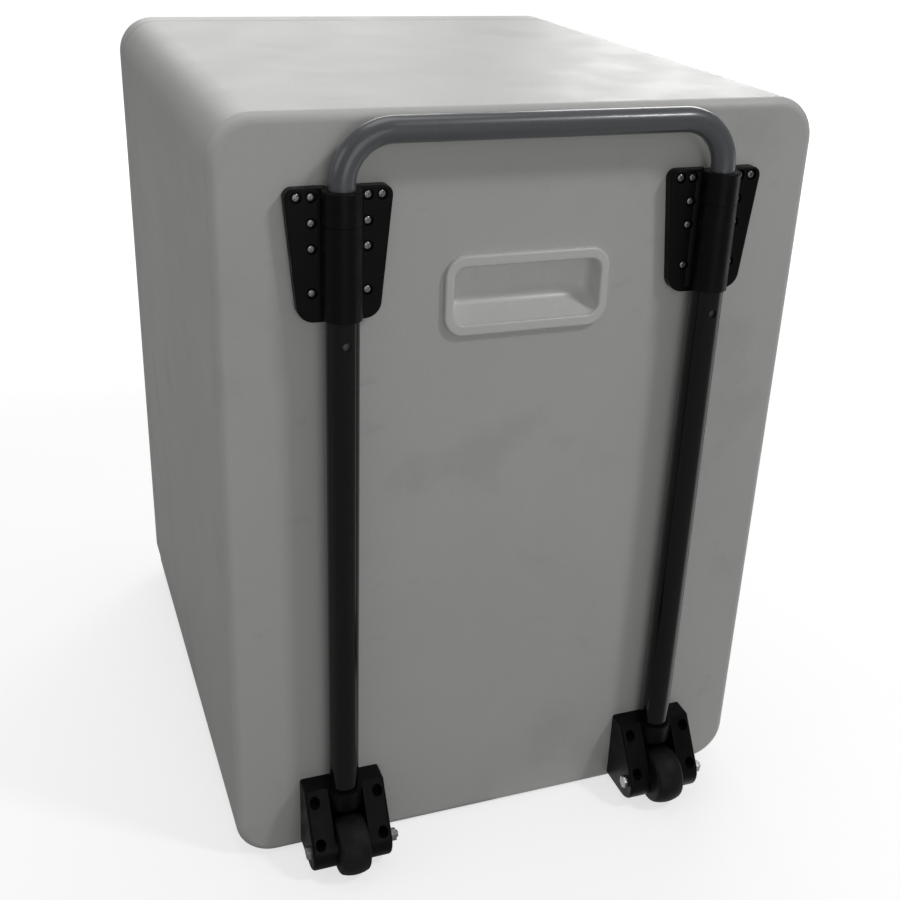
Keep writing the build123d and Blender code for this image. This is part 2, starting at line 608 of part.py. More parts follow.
def make_wheel(name, x):
    """One wheel with its tyre and hub, and its axle bolt and nut."""
    across = (1, 0, 0)
    half = WHEEL_HALF_WIDTH
    tread = ThreePointArc((-half, WHEEL_EDGE_RADIUS), (0, WHEEL_RADIUS), (half, WHEEL_EDGE_RADIUS))
    right = [(half, WHEEL_EDGE_RADIUS), (half, HUB_RADIUS)]
    left = [(-half, HUB_RADIUS), (-half, WHEEL_EDGE_RADIUS)]
    sides = Polyline(*right, *left)
    profile = make_face(tread + sides)
    profile = fillet(profile.vertices().sort_by(Axis.Y)[-2:], WHEEL_EDGE_ROUND)
    tyre = revolve(profile, axis=Axis.X)
    keep(f"{name}_wheel_tyre", Pos(x, AXLE_Y, AXLE_Z) * tyre)

    hub_half = SLOT_HALF - HUB_END_GAP
    hub = rod((x - half, AXLE_Y, AXLE_Z), across, HUB_RADIUS, 2 * half)
    hub += rod((x - hub_half, AXLE_Y, AXLE_Z), across, HUB_RADIUS * 0.6, 2 * hub_half)
    hub -= rod((x - hub_half - 1, AXLE_Y, AXLE_Z), across, AXLE_RADIUS + RUN_GAP, 2 * hub_half + 2)
    keep(f"{name}_wheel_hub", hub)

    near = (x - BLOCK_HALF, AXLE_Y, AXLE_Z)
    far = (x + BLOCK_HALF, AXLE_Y, AXLE_Z)
    bolt = rod(near, across, AXLE_RADIUS, 2 * BLOCK_HALF + NUT_HEIGHT + AXLE_TAIL)
    bolt += hexagon(near, (-1, 0, 0), BOLT_HEAD)
    keep(f"{name}_axle_bolt", bolt)
    nut = hexagon(far, across, NUT_HEIGHT) - rod(far, across, AXLE_RADIUS + RUN_GAP, NUT_HEIGHT + 1)
    keep(f"{name}_axle_nut", nut)


def hinge_leaf(middle, hand, knuckles, others):
    """One hinge leaf: a side plate on one side of the hinge line and its knuckles on the pin."""
    up = (0, 0, 1)
    near = HINGE_Y + hand * HIDDEN_GAP
    far = HINGE_Y + hand * HINGE_LEAF_REACH
    low = (SIDE_X, min(near, far), middle - HINGE_HALF_HEIGHT)
    leaf = block(low, (SIDE_X + HINGE_LEAF, max(near, far), middle + HINGE_HALF_HEIGHT))
    tips = leaf.edges().filter_by(Axis.X).group_by(Axis.Y)[0 if hand < 0 else -1]
    leaf = fillet(tips, HINGE_LEAF_RADIUS)
    for z_low, z_high in knuckles:
        leaf += rod((HINGE_X, HINGE_Y, z_low), up, HINGE_BARREL_RADIUS, z_high - z_low)
    for z_low, z_high in others:
        start = (HINGE_X, HINGE_Y, z_low - HIDDEN_GAP)
        leaf -= rod(start, up, HINGE_BARREL_RADIUS + HIDDEN_GAP, z_high - z_low + 2 * HIDDEN_GAP)
    start = (HINGE_X, HINGE_Y, middle - HINGE_HALF_HEIGHT - 1)
    leaf -= rod(start, up, HINGE_PIN_RADIUS + RUN_GAP, 2 * HINGE_HALF_HEIGHT + 2)
    for y, z in hinge_screw_points(hand):
        leaf -= rod((SIDE_X - 1, y, z), (1, 0, 0), SCREW_SHANK_RADIUS + SCREW_GAP, HINGE_LEAF + 2)
    return leaf


def make_hinges():
    """Both hinges, with their leaves, pins and screws."""
    for name, middle in zip(("lower", "upper"), HINGE_HEIGHTS):
        low, high = middle - HINGE_HALF_HEIGHT, middle + HINGE_HALF_HEIGHT
        split_low, split_high = middle - HINGE_MIDDLE_HALF, middle + HINGE_MIDDLE_HALF
        outer = [(low, split_low), (split_high, high)]
        inner = [(split_low + HIDDEN_GAP, split_high - HIDDEN_GAP)]
        keep(f"{name}_hinge_cabinet_leaf", hinge_leaf(middle, -1, outer, inner))
        keep(f"{name}_hinge_door_leaf", hinge_leaf(middle, 1, inner, outer))
        pin = rod((HINGE_X, HINGE_Y, low), (0, 0, 1), HINGE_PIN_RADIUS, high - low)
        pin += rod((HINGE_X, HINGE_Y, high), (0, 0, 1), HINGE_PIN_HEAD_RADIUS, HINGE_PIN_HEAD)
        keep(f"{name}_hinge_pin", pin)
    seat_x = SIDE_X + HINGE_LEAF
    length = HINGE_LEAF + SCREW_BITE
    for name, hand in (("cabinet", -1), ("door", 1)):
        inward = (-1, 0, 0)
        screws = [
            pan_screw((seat_x, y, z), inward, SCREW_HEAD_RADIUS, SCREW_HEAD_HEIGHT, SCREW_SHANK_RADIUS, length)
            for y, z in hinge_screw_points(hand)
        ]
        keep(f"{name}_hinge_screws", *screws)


def make_latch():
    """The turn latch on the door and its keeper on the liner wall."""
    front = (0, 1, 0)
    dish_back = DISH_FLOOR_Y - LATCH_DISH_WALL
    rim_radius = LATCH_DISH_RADIUS + LATCH_RIM
    dish_outer = LATCH_DISH_RADIUS + LATCH_DISH_WALL
    housing = rod((LATCH_X, dish_back, LATCH_Z), front, dish_outer, DOOR_FRONT_Y - dish_back)
    rim = rod((LATCH_X, DOOR_FRONT_Y, LATCH_Z), front, rim_radius, LATCH_RIM_PROUD)
    housing += fillet(rim.edges().sort_by(Axis.Y)[-1], LATCH_RIM_PROUD / 2)
    housing += rod((LATCH_X, DOOR_BACK_Y, LATCH_Z), front, LATCH_BARREL_RADIUS, dish_back - DOOR_BACK_Y)
    dish_cut = LATCH_DISH_DEPTH + LATCH_RIM_PROUD + 1
    housing -= rod((LATCH_X, DISH_FLOOR_Y, LATCH_Z), front, LATCH_DISH_RADIUS, dish_cut)
    bore_length = DOOR_THICKNESS
    housing -= rod((LATCH_X, DOOR_BACK_Y - 1, LATCH_Z), front, LATCH_SPINDLE_RADIUS + RUN_GAP, bore_length)
    keep("latch_housing", housing)

    bar_back = DISH_FLOOR_Y + LATCH_BAR_LIFT
    bar_low = (LATCH_X - LATCH_BAR_HALF_WIDTH, bar_back, LATCH_Z - LATCH_BAR_HALF_LENGTH)
    bar_high = (LATCH_X + LATCH_BAR_HALF_WIDTH, DOOR_FRONT_Y, LATCH_Z + LATCH_BAR_HALF_LENGTH)
    bar = block(bar_low, bar_high)
    bar = fillet(bar.edges(), LATCH_BAR_EDGE)
    spindle_back = CAM_BACK_Y
    spindle_length = bar_back - spindle_back + 1
    handle = bar + rod((LATCH_X, spindle_back, LATCH_Z), front, LATCH_SPINDLE_RADIUS, spindle_length)
    handle -= rod((LATCH_X, spindle_back - 1, LATCH_Z), front, CAM_SCREW_RADIUS + FIT_GAP, CAM_SCREW_LENGTH + 1)
    keep("latch_handle", handle)

    plane = Plane((LATCH_X, CAM_FRONT_Y, LATCH_Z), x_dir=(1, 0, 0), z_dir=OUTWARD)
    outline = Pos(0, CAM_REACH / 2) * RectangleRounded(2 * CAM_HALF_WIDTH, CAM_REACH, CAM_HALF_WIDTH / 3)
    outline += Circle(CAM_HALF_WIDTH)
    cam = extrude(plane * (outline - Circle(LATCH_SPINDLE_RADIUS + RUN_GAP)), amount=CAM_THICKNESS)
    keep("latch_cam", cam)

    screw = rod((LATCH_X, CAM_BACK_Y, LATCH_Z), OUTWARD, CAM_SCREW_HEAD_RADIUS, CAM_SCREW_HEAD)
    screw = fillet(screw.edges().sort_by(Axis.Y)[0], CAM_SCREW_HEAD / 2)
    screw += rod((LATCH_X, CAM_BACK_Y, LATCH_Z), front, CAM_SCREW_RADIUS, CAM_SCREW_LENGTH - FIT_GAP)
    keep("latch_cam_screw", screw)

    lip_back = CAM_FRONT_Y + KEEPER_CAM_GAP
    lip_front = lip_back + KEEPER_LIP
    wall_x = -INNER_X
    low_z, high_z = LATCH_Z - KEEPER_HALF_HEIGHT, LATCH_Z + KEEPER_HALF_HEIGHT
    keeper = block((wall_x, lip_front - KEEPER_LENGTH, low_z), (wall_x + KEEPER_PLATE, lip_front, high_z))
    keeper += block((wall_x, lip_back, low_z), (wall_x + KEEPER_LIP_REACH, lip_front, high_z))
    radius = SCREW_SHANK_RADIUS + SCREW_GAP
    for y, z in keeper_screw_points():
        keeper -= rod((wall_x - 1, y, z), (1, 0, 0), radius, KEEPER_PLATE + 2)
    keep("latch_keeper", keeper)
    length = KEEPER_PLATE + SCREW_BITE
    seat_x = wall_x + KEEPER_PLATE
    screws = [
        pan_screw((seat_x, y, z), (-1, 0, 0), SCREW_HEAD_RADIUS, SCREW_HEAD_HEIGHT, SCREW_SHANK_RADIUS, length)
        for y, z in keeper_screw_points()
    ]
    keep("keeper_screws", *screws)


make_cabinet()
make_door()
make_hinges()
make_latch()
make_handle()
for side, sign in SIDES.items():
    make_bracket(side, sign * TUBE_X)
    make_outer_tube(side, sign * TUBE_X)
    make_leg_end(side, sign * TUBE_X)
    make_wheel_block(side, sign * TUBE_X)
    make_wheel(side, sign * TUBE_X)

os.makedirs("parts", exist_ok=True)
for node_name, shape in NODES.items():
    export_step(shape, f"parts/{node_name}.step")
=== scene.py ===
"""Looks of an upright wheeled cooler with a telescopic trolley handle, built round its solids."""

import json
import logging
import math
from dataclasses import dataclass
from enum import Enum
from typing import Callable, Iterable, Sequence

import bmesh
import bpy
from mathutils import Matrix, Vector


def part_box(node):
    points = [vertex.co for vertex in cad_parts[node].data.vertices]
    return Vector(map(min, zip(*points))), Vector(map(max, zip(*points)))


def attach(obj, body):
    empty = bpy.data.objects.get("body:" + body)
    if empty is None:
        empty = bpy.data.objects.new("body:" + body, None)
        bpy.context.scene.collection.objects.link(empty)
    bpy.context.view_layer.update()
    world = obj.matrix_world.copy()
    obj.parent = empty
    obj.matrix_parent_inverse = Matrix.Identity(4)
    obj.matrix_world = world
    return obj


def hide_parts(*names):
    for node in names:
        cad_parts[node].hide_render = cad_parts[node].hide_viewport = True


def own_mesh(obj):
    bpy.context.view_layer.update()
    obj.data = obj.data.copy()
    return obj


logging.basicConfig(level=logging.INFO, format="%(message)s")
LOG = logging.getLogger("cooler")

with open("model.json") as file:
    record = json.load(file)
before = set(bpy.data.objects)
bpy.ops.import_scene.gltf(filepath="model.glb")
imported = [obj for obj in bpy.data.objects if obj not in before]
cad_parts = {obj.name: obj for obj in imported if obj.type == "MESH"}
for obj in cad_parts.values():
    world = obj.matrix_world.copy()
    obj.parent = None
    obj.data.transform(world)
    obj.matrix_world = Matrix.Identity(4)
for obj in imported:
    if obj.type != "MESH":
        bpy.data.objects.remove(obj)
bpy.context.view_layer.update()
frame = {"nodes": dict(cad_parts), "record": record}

MM = 0.001
HANDS = ("left", "right")
IMAGE_SIDE = 900
MERGE_GAP = 1e-6
LEVEL_GAP = 1e-5
PARALLEL = 0.999
NORMAL_WEIGHT = 80
SORT_DIGITS = 4
EVEN = (1.0, 1.0, 1.0)
WHITE = (1.0, 1.0, 1.0)

Colour = tuple[float, float, float]


class Pick(Enum):
    """What an edit-mode selection is made of."""

    EDGE = "EDGE"
    FACE = "FACE"


class Axis3(Enum):
    """One of the three row axes."""

    X = 0
    Y = 1
    Z = 2


class Workbench:
    """Hand tools that shape one mesh at a time."""

    @staticmethod
    def clear() -> None:
        """Leave edit mode and deselect everything."""
        if bpy.context.object and bpy.context.object.mode != "OBJECT":
            bpy.ops.object.mode_set(mode="OBJECT")
        bpy.ops.object.select_all(action="DESELECT")

    @staticmethod
    def activate(piece: bpy.types.Object) -> None:
        """Make one object the only selected and active one.

        Args:
            piece: Object to work on.
        """
        Workbench.clear()
        piece.select_set(True)
        bpy.context.view_layer.objects.active = piece

    @staticmethod
    def settle(piece: bpy.types.Object) -> None:
        """Put an object's place, turn and size into its mesh.

        Args:
            piece: Object to settle at the origin.
        """
        Workbench.activate(piece)
        bpy.ops.object.transform_apply(location=True, rotation=True, scale=True)

    @staticmethod
    def block(name: str, low: Vector, high: Vector) -> bpy.types.Object:
        """Start a piece from a block between two corners.

        Args:
            name: Name of the new object.
            low: Lowest corner.
            high: Highest corner.

        Returns:
            The block, settled at the origin.
        """
        Workbench.clear()
        bpy.ops.mesh.primitive_cube_add(size=1.0, location=(low + high) / 2, scale=high - low)
        piece = bpy.context.object
        piece.name = name
        Workbench.settle(piece)
        return piece

    @staticmethod
    def bar(
        name: str, start: Vector, end: Vector, radius: float, sides: int = 64, capped: bool = True
    ) -> bpy.types.Object:
        """Start a piece from a round bar between two points.

        Args:
            name: Name of the new object.
            start: Centre of one end.
            end: Centre of the other end.
            radius: Radius of the bar.
            sides: Number of flats round it.
            capped: Whether the ends are closed.

        Returns:
            The bar, settled at the origin.
        """
        Workbench.clear()
        run = end - start
        bpy.ops.mesh.primitive_cylinder_add(
            vertices=sides,
            radius=radius,
            depth=run.length,
            end_fill_type="NGON" if capped else "NOTHING",
            location=(start + end) / 2,
            rotation=run.to_track_quat("Z", "Y").to_euler(),
        )
        piece = bpy.context.object
        piece.name = name
        Workbench.settle(piece)
        return piece

    @staticmethod
    def open_up(piece: bpy.types.Object) -> None:
        """Enter edit mode with the whole mesh selected.

        Args:
            piece: Object to edit.
        """
        Workbench.activate(piece)
        bpy.ops.object.mode_set(mode="EDIT")
        bpy.ops.mesh.select_all(action="SELECT")

    @staticmethod
    def choose(piece: bpy.types.Object, pick: Pick, test: Callable[..., bool]) -> int:
        """Enter edit mode and select the edges or faces that pass a test.

        Args:
            piece: Object to edit.
            pick: Whether edges or faces are tested.
            test: Says whether an edge or face is wanted.

        Returns:
            How many were selected.
        """
        Workbench.activate(piece)
        bpy.ops.object.mode_set(mode="EDIT")
        bpy.ops.mesh.select_mode(type=pick.value)
        bpy.ops.mesh.select_all(action="DESELECT")
        mesh = bmesh.from_edit_mesh(piece.data)
        items = mesh.edges if pick is Pick.EDGE else mesh.faces
        found = [item for item in items if test(item)]
        for item in found:
            item.select_set(True)
        bmesh.update_edit_mesh(piece.data)
        return len(found)

    @staticmethod
    def round_over(
        piece: bpy.types.Object, test: Callable[..., bool], radius: float, segments: int
    ) -> None:
        """Round the edges that pass a test.

        Args:
            piece: Object to edit.
            test: Says whether an edge is rounded.
            radius: Radius of the rounding.
            segments: Number of facets across it.
        """
        if Workbench.choose(piece, Pick.EDGE, test):
            bpy.ops.mesh.bevel(
                offset=radius, offset_type="OFFSET", segments=segments, profile=0.5, affect="EDGES"
            )
        bpy.ops.object.mode_set(mode="OBJECT")

    @staticmethod
    def remove_faces(piece: bpy.types.Object, test: Callable[..., bool]) -> None:
        """Open a piece by taking out the faces that pass a test.

        Args:
            piece: Object to edit.
            test: Says whether a face goes.
        """
        if Workbench.choose(piece, Pick.FACE, test):
            bpy.ops.mesh.delete(type="FACE")
        bpy.ops.object.mode_set(mode="OBJECT")

    @staticmethod
    def modify(piece: bpy.types.Object, kind: str, **settings: object) -> None:
        """Add one modifier, set it and apply it.

        Args:
            piece: Object that gets it.
            kind: Blender's name of the modifier type.
            **settings: Values of the modifier's own properties.
        """
        Workbench.activate(piece)
        modifier = piece.modifiers.new(kind.title(), kind)
        for key, value in settings.items():
            setattr(modifier, key, value)
        bpy.ops.object.modifier_apply(modifier=modifier.name)

    @staticmethod
    def combine(piece: bpy.types.Object, tools: Iterable[bpy.types.Object], operation: str) -> None:
        """Cut tools out of a piece, or add them to it, and discard the tools.

        Args:
            piece: Object that changes.
            tools: Objects that act on it.
            operation: DIFFERENCE or UNION.
        """
        for tool in list(tools):
            Workbench.modify(piece, "BOOLEAN", operation=operation, solver="EXACT", object=tool)
            bpy.data.objects.remove(tool)

    @staticmethod
    def join(name: str, pieces: Sequence[bpy.types.Object]) -> bpy.types.Object:
        """Join several objects into one.

        Args:
            name: Name of the joined object.
            pieces: Objects to join.

        Returns:
            The joined object.
        """
        Workbench.activate(pieces[0])
        for piece in pieces[1:]:
            piece.select_set(True)
        if len(pieces) > 1:
            bpy.ops.object.join()
        joined = bpy.context.object
        joined.name = name
        return joined

    @staticmethod
    def copy(piece: bpy.types.Object, placement: Matrix) -> bpy.types.Object:
        """Copy a piece with its own mesh to a new place.

        Args:
            piece: Object to copy.
            placement: Turn and place of the copy.

        Returns:
            The copy, settled at the origin.
        """
        Workbench.activate(piece)
        bpy.ops.object.duplicate(linked=False)
        twin = bpy.context.object
        twin.matrix_world = placement
        Workbench.settle(twin)
        return twin

    @staticmethod
    def smooth(piece: bpy.types.Object, degrees: float = 40.0) -> None:
        """Merge doubles, turn faces outward and shade round forms smoothly.

        Args:
            piece: Object to finish.
            degrees: Edges sharper than this stay crisp.
        """
        Workbench.open_up(piece)
        bpy.ops.mesh.remove_doubles(threshold=MERGE_GAP)
        bpy.ops.mesh.normals_make_consistent(inside=False)
        bpy.ops.object.mode_set(mode="OBJECT")
        bpy.ops.object.shade_smooth_by_angle(angle=math.radians(degrees))
        Workbench.modify(piece, "WEIGHTED_NORMAL", keep_sharp=True, weight=NORMAL_WEIGHT)


def along(axis: Axis3) -> Callable[[bmesh.types.BMEdge], bool]:
    """Make a test for edges that run along one axis.

    Args:
        axis: The axis they run along.

    Returns:
        A test on an edge.
    """

    def test(edge: bmesh.types.BMEdge) -> bool:
        run = (edge.verts[1].co - edge.verts[0].co).normalized()
        return abs(run[axis.value]) > PARALLEL

    return test


def at_level(axis: Axis3, level: float) -> Callable[..., bool]:
    """Make a test for edges or faces that lie in one plane.

    Args:
        axis: Normal of the plane.
        level: Place of the plane on that axis.

    Returns:
        A test on an edge or a face.
    """

    def test(item: bmesh.types.BMEdge | bmesh.types.BMFace) -> bool:
        return all(abs(vert.co[axis.value] - level) < LEVEL_GAP for vert in item.verts)

    return test


def rounded_block(
    name: str, low: Vector, high: Vector, radius: float, segments: int = 10
) -> bpy.types.Object:
    """Make a block whose four edges along Y are rounded.

    Args:
        name: Name of the new object.
        low: Lowest corner.
        high: Highest corner.
        radius: Radius of the four edges.
        segments: Number of facets across each.

    Returns:
        The rounded block.
    """
    piece = Workbench.block(name, low, high)
    Workbench.round_over(piece, along(Axis3.Y), radius, segments)
    return piece


def solids_of(node: str) -> list[tuple[Vector, Vector]]:
    """Find the box of each separate solid of a node.

    Args:
        node: Name of the node.

    Returns:
        The lowest and highest corner of each solid, from low to high and left to right.
    """
    mesh = bmesh.new()
    mesh.from_mesh(frame["nodes"][node].data)
    bmesh.ops.remove_doubles(mesh, verts=mesh.verts, dist=MERGE_GAP)
    waiting = set(mesh.verts)
    boxes = []
    while waiting:
        open_ends = [waiting.pop()]
        places = []
        while open_ends:
            vert = open_ends.pop()
            places.append(vert.co.copy())
            near = {edge.other_vert(vert) for edge in vert.link_edges} & waiting
            waiting -= near
            open_ends += near
        low = Vector(min(place[i] for place in places) for i in range(3))
        high = Vector(max(place[i] for place in places) for i in range(3))
        boxes.append((low, high))
    mesh.free()
    return sorted(boxes, key=lambda box: [round(value, SORT_DIGITS) for value in box[0].zxy])


@dataclass(frozen=True)
class Noise:
    """Noise in object space: features in a metre, finer octaves and scale along each axis."""

    scale: float
    detail: float = 3.0
    stretch: tuple[float, float, float] = EVEN


@dataclass(frozen=True)
class Patches:
    """Soft patches that begin where a noise reaches low and are at their most from high on."""

    noise: Noise
    low: float
    high: float
    most: float = 1.0


@dataclass(frozen=True)
class Sheen:
    """A roughness that follows a noise and falls by less or rises by more."""

    noise: Noise
    less: float
    more: float


class Shader:
    """Node tools that lay out one procedural material."""

    columns = 8
    node_step = (-240, -220)
    sheen_range = (0.3, 0.7)
    mix_share, mix_first, mix_second, mix_result = 0, 6, 7, 2

    def __init__(self, name: str) -> None:
        """Start an empty material with one surface shader.

        Args:
            name: Name of the material.
        """
        self.material = bpy.data.materials.new(name)
        self.material.use_nodes = True
        self.tree = self.material.node_tree
        self.surface = self.tree.nodes["Principled BSDF"]
        self.count = 0

    def feed(self, socket: bpy.types.NodeSocket, value: object) -> None:
        """Link another socket to an input, or set the input's own value.

        Args:
            socket: The input.
            value: Number, colour or vector, or a socket to link from.
        """
        if isinstance(value, bpy.types.NodeSocket):
            self.tree.links.new(value, socket)
        elif socket.type == "RGBA":
            socket.default_value = (*value, 1.0)
        else:
            socket.default_value = value

    def node(self, kind: str, **inputs: object) -> bpy.types.Node:
        """Add a node and set its inputs or properties by name.

        Args:
            kind: Blender's name of the node type.
            **inputs: Values, or sockets to link from, by input or property name.

        Returns:
            The new node.
        """
        made = self.tree.nodes.new(kind)
        self.count += 1
        row, column = divmod(self.count, self.columns)
        made.location = (self.node_step[0] * (column + 1), self.node_step[1] * row)
        for key, value in inputs.items():
            label = key.replace("_", " ")
            if label in made.inputs:
                self.feed(made.inputs[label], value)
            else:
                setattr(made, key, value)
        return made

    def math(self, operation: str, *values: float | bpy.types.NodeSocket) -> bpy.types.NodeSocket:
        """Add a sum, a product or another operation on numbers.

        Args:
            operation: Blender's name of the operation.
            *values: Numbers, or sockets with them, in the operation's own order.

        Returns:
            The result's socket.
        """
        made = self.node("ShaderNodeMath", operation=operation)
        for socket, value in zip(made.inputs, values):
            self.feed(socket, value)
        return made.outputs[0]

    def place(self, stretch: Sequence[float] = EVEN) -> bpy.types.NodeSocket:
        """Give the object's own coordinates, stretched along the axes.

        Args:
            stretch: Scale along each axis.

        Returns:
            The coordinate socket.
        """
        source = self.node("ShaderNodeTexCoord").outputs["Object"]
        return self.node("ShaderNodeMapping", Vector=source, Scale=stretch).outputs["Vector"]

    def noise(self, kind: Noise) -> bpy.types.NodeSocket:
        """Add a noise pattern in object space.

        Args:
            kind: The pattern.

        Returns:
            The noise value's socket.
        """
        place = self.place(kind.stretch)
        made = self.node("ShaderNodeTexNoise", Vector=place, Scale=kind.scale, Detail=kind.detail)
        return made.outputs["Fac"]

    def spread(
        self, value: bpy.types.NodeSocket, low: float, high: float, to_low: float, to_high: float
    ) -> bpy.types.NodeSocket:
        """Map one range of a value to another, clamped and eased.

        Args:
            value: Socket to map.
            low: Value that maps to to_low.
            high: Value that maps to to_high.
            to_low: New value at low.
            to_high: New value at high.

        Returns:
            The mapped value's socket.
        """
        ends = {"From_Min": low, "From_Max": high, "To_Min": to_low, "To_Max": to_high}
        made = self.node("ShaderNodeMapRange", interpolation_type="SMOOTHSTEP", Value=value, **ends)
        return made.outputs["Result"]

    def patches(self, kind: Patches) -> bpy.types.NodeSocket:
        """Cut soft patches out of a noise pattern.

        Args:
            kind: The patches.

        Returns:
            The socket of their strength.
        """
        return self.spread(self.noise(kind.noise), kind.low, kind.high, 0.0, kind.most)

    def tint(
        self,
        share: bpy.types.NodeSocket,
        first: Colour | bpy.types.NodeSocket,
        second: Colour,
    ) -> bpy.types.NodeSocket:
        """Mix two colours by a share.

        Args:
            share: Socket that is 0 for the first colour and 1 for the second.
            first: Colour, or a socket with one.
            second: Colour.

        Returns:
            The mixed colour's socket.
        """
        made = self.node("ShaderNodeMix", data_type="RGBA")
        self.feed(made.inputs[self.mix_share], share)
        self.feed(made.inputs[self.mix_first], first)
        self.feed(made.inputs[self.mix_second], second)
        return made.outputs[self.mix_result]

    def layers(self, colour: Colour, *coats: tuple[Patches, Colour]) -> None:
        """Give the surface its colour, with patches of other colours over it.

        Args:
            colour: Colour of the surface.
            *coats: Patches with their colour, from the lowest up.
        """
        base = colour
        for kind, tone in coats:
            base = self.tint(self.patches(kind), base, tone)
        self.set(Base_Color=base)

    def gloss(self, roughness: float, sheen: Sheen) -> None:
        """Give the surface a roughness that wanders.

        Args:
            roughness: Value that it wanders about.
            sheen: How it wanders.
        """
        ends = (roughness - sheen.less, roughness + sheen.more)
        self.set(Roughness=self.spread(self.noise(sheen.noise), *self.sheen_range, *ends))

    def relief(self, *layers: tuple[bpy.types.NodeSocket, float]) -> None:
        """Stack bump layers on the surface.

        Args:
            *layers: Height sockets with their depth in metres.
        """
        below = None
        for height, depth in layers:
            bump = self.node("ShaderNodeBump", Height=height, Strength=1.0, Distance=depth)
            if below:
                self.feed(bump.inputs["Normal"], below)
            below = bump.outputs["Normal"]
        self.set(Normal=below)

    def set(self, **values: object) -> None:
        """Set or link the surface shader's own inputs.

        Args:
            **values: Numbers, colours or sockets by input name.
        """
        for key, value in values.items():
            self.feed(self.surface.inputs[key.replace("_", " ")], value)


@dataclass(frozen=True)
class MouldedSkin:
    """Pale rotation-moulded plastic with a fine orange peel and faint rub marks."""

    name: str
    colour: Colour
    shade: Colour
    rubbed: Colour
    roughness: float
    peel: float = 0.0002
    specular: float = 0.45
    clouds: Patches = Patches(Noise(7.0, 2.0), 0.35, 0.65)
    rubs: Patches = Patches(Noise(11.0, 6.0), 0.58, 0.72, 0.42)
    marks: Patches = Patches(Noise(38.0, 7.0, (0.8, 0.8, 1.4)), 0.64, 0.76, 0.34)
    sheen: Sheen = Sheen(Noise(24.0, 4.0), 0.03, 0.04)
    fine: Noise = Noise(330.0, 4.0)
    waves: Noise = Noise(9.0, 1.0)

    def build(self) -> bpy.types.Material:
        """Lay out the material.

        Returns:
            The material.
        """
        shader = Shader(self.name)
        worn = ((self.rubs, self.rubbed), (self.marks, self.rubbed))
        shader.layers(self.colour, (self.clouds, self.shade), *worn)
        shader.gloss(self.roughness, self.sheen)
        shader.set(Specular_IOR_Level=self.specular)
        shader.relief((shader.noise(self.fine), self.peel), (shader.noise(self.waves), self.peel / 2))
        return shader.material


@dataclass(frozen=True)
class GrainedPlastic:
    """Moulded plastic with a fine spark-eroded grain and dusty patches."""

    name: str
    colour: Colour
    dust: Colour
    roughness: float
    specular: float = 0.3
    film: Patches = Patches(Noise(45.0, 6.0), 0.5, 0.78, 0.5)
    specks: Patches = Patches(Noise(900.0, 2.0), 0.66, 0.74, 0.35)
    sheen: Sheen = Sheen(Noise(70.0, 4.0), 0.07, 0.09)
    grain: Noise = Noise(1400.0)
    grain_depth: float = 0.00004

    def build(self) -> bpy.types.Material:
        """Lay out the material.

        Returns:
            The material.
        """
        shader = Shader(self.name)
        shader.layers(self.colour, (self.film, self.dust), (self.specks, self.dust))
        shader.gloss(self.roughness, self.sheen)
        shader.set(Specular_IOR_Level=self.specular)
        shader.relief((shader.noise(self.grain), self.grain_depth))
        return shader.material


@dataclass(frozen=True)
class TubePaint:
    """Paint on drawn tube, with faint lengthwise streaks and, where asked for, a clear coat."""

    name: str
    colour: Colour
    streak: Colour
    roughness: float
    coat: float = 0.0
    metallic: float = 0.0
    specular: float = 0.5
    coat_roughness: float = 0.12
    streaks: Patches = Patches(Noise(260.0, 4.0, (1.0, 1.0, 0.03)), 0.4, 0.75, 0.6)
    wear: Patches = Patches(Noise(60.0, 6.0), 0.66, 0.80, 0.2)
    sheen: Sheen = Sheen(Noise(90.0), 0.02, 0.04)
    peel: Noise = Noise(600.0, 2.0)
    peel_depth: float = 0.00001

    def build(self) -> bpy.types.Material:
        """Lay out the material.

        Returns:
            The material.
        """
        shader = Shader(self.name)
        shader.layers(self.colour, (self.streaks, self.streak), (self.wear, self.streak))
        shader.gloss(self.roughness, self.sheen)
        shader.set(Metallic=self.metallic, Specular_IOR_Level=self.specular)
        shader.set(Coat_Weight=self.coat, Coat_Roughness=self.coat_roughness)
        shader.relief((shader.noise(self.peel), self.peel_depth))
        return shader.material


@dataclass(frozen=True)
class PlatedSteel:
    """Bright plated steel with fine scratches and dull patches."""

    name: str
    colour: Colour
    dull: Colour
    roughness: float
    blooms: Patches = Patches(Noise(200.0), 0.4, 0.7, 0.6)
    sheen: Sheen = Sheen(Noise(1500.0), 0.04, 0.06)
    scratches: Noise = Noise(2500.0, 2.0, (1.0, 0.2, 1.0))
    scratch_depth: float = 0.0000015

    def build(self) -> bpy.types.Material:
        """Lay out the material.

        Returns:
            The material.
        """
        shader = Shader(self.name)
        shader.layers(self.colour, (self.blooms, self.dull))
        shader.gloss(self.roughness, self.sheen)
        shader.set(Metallic=1.0)
        shader.relief((shader.noise(self.scratches), self.scratch_depth))
        return shader.material


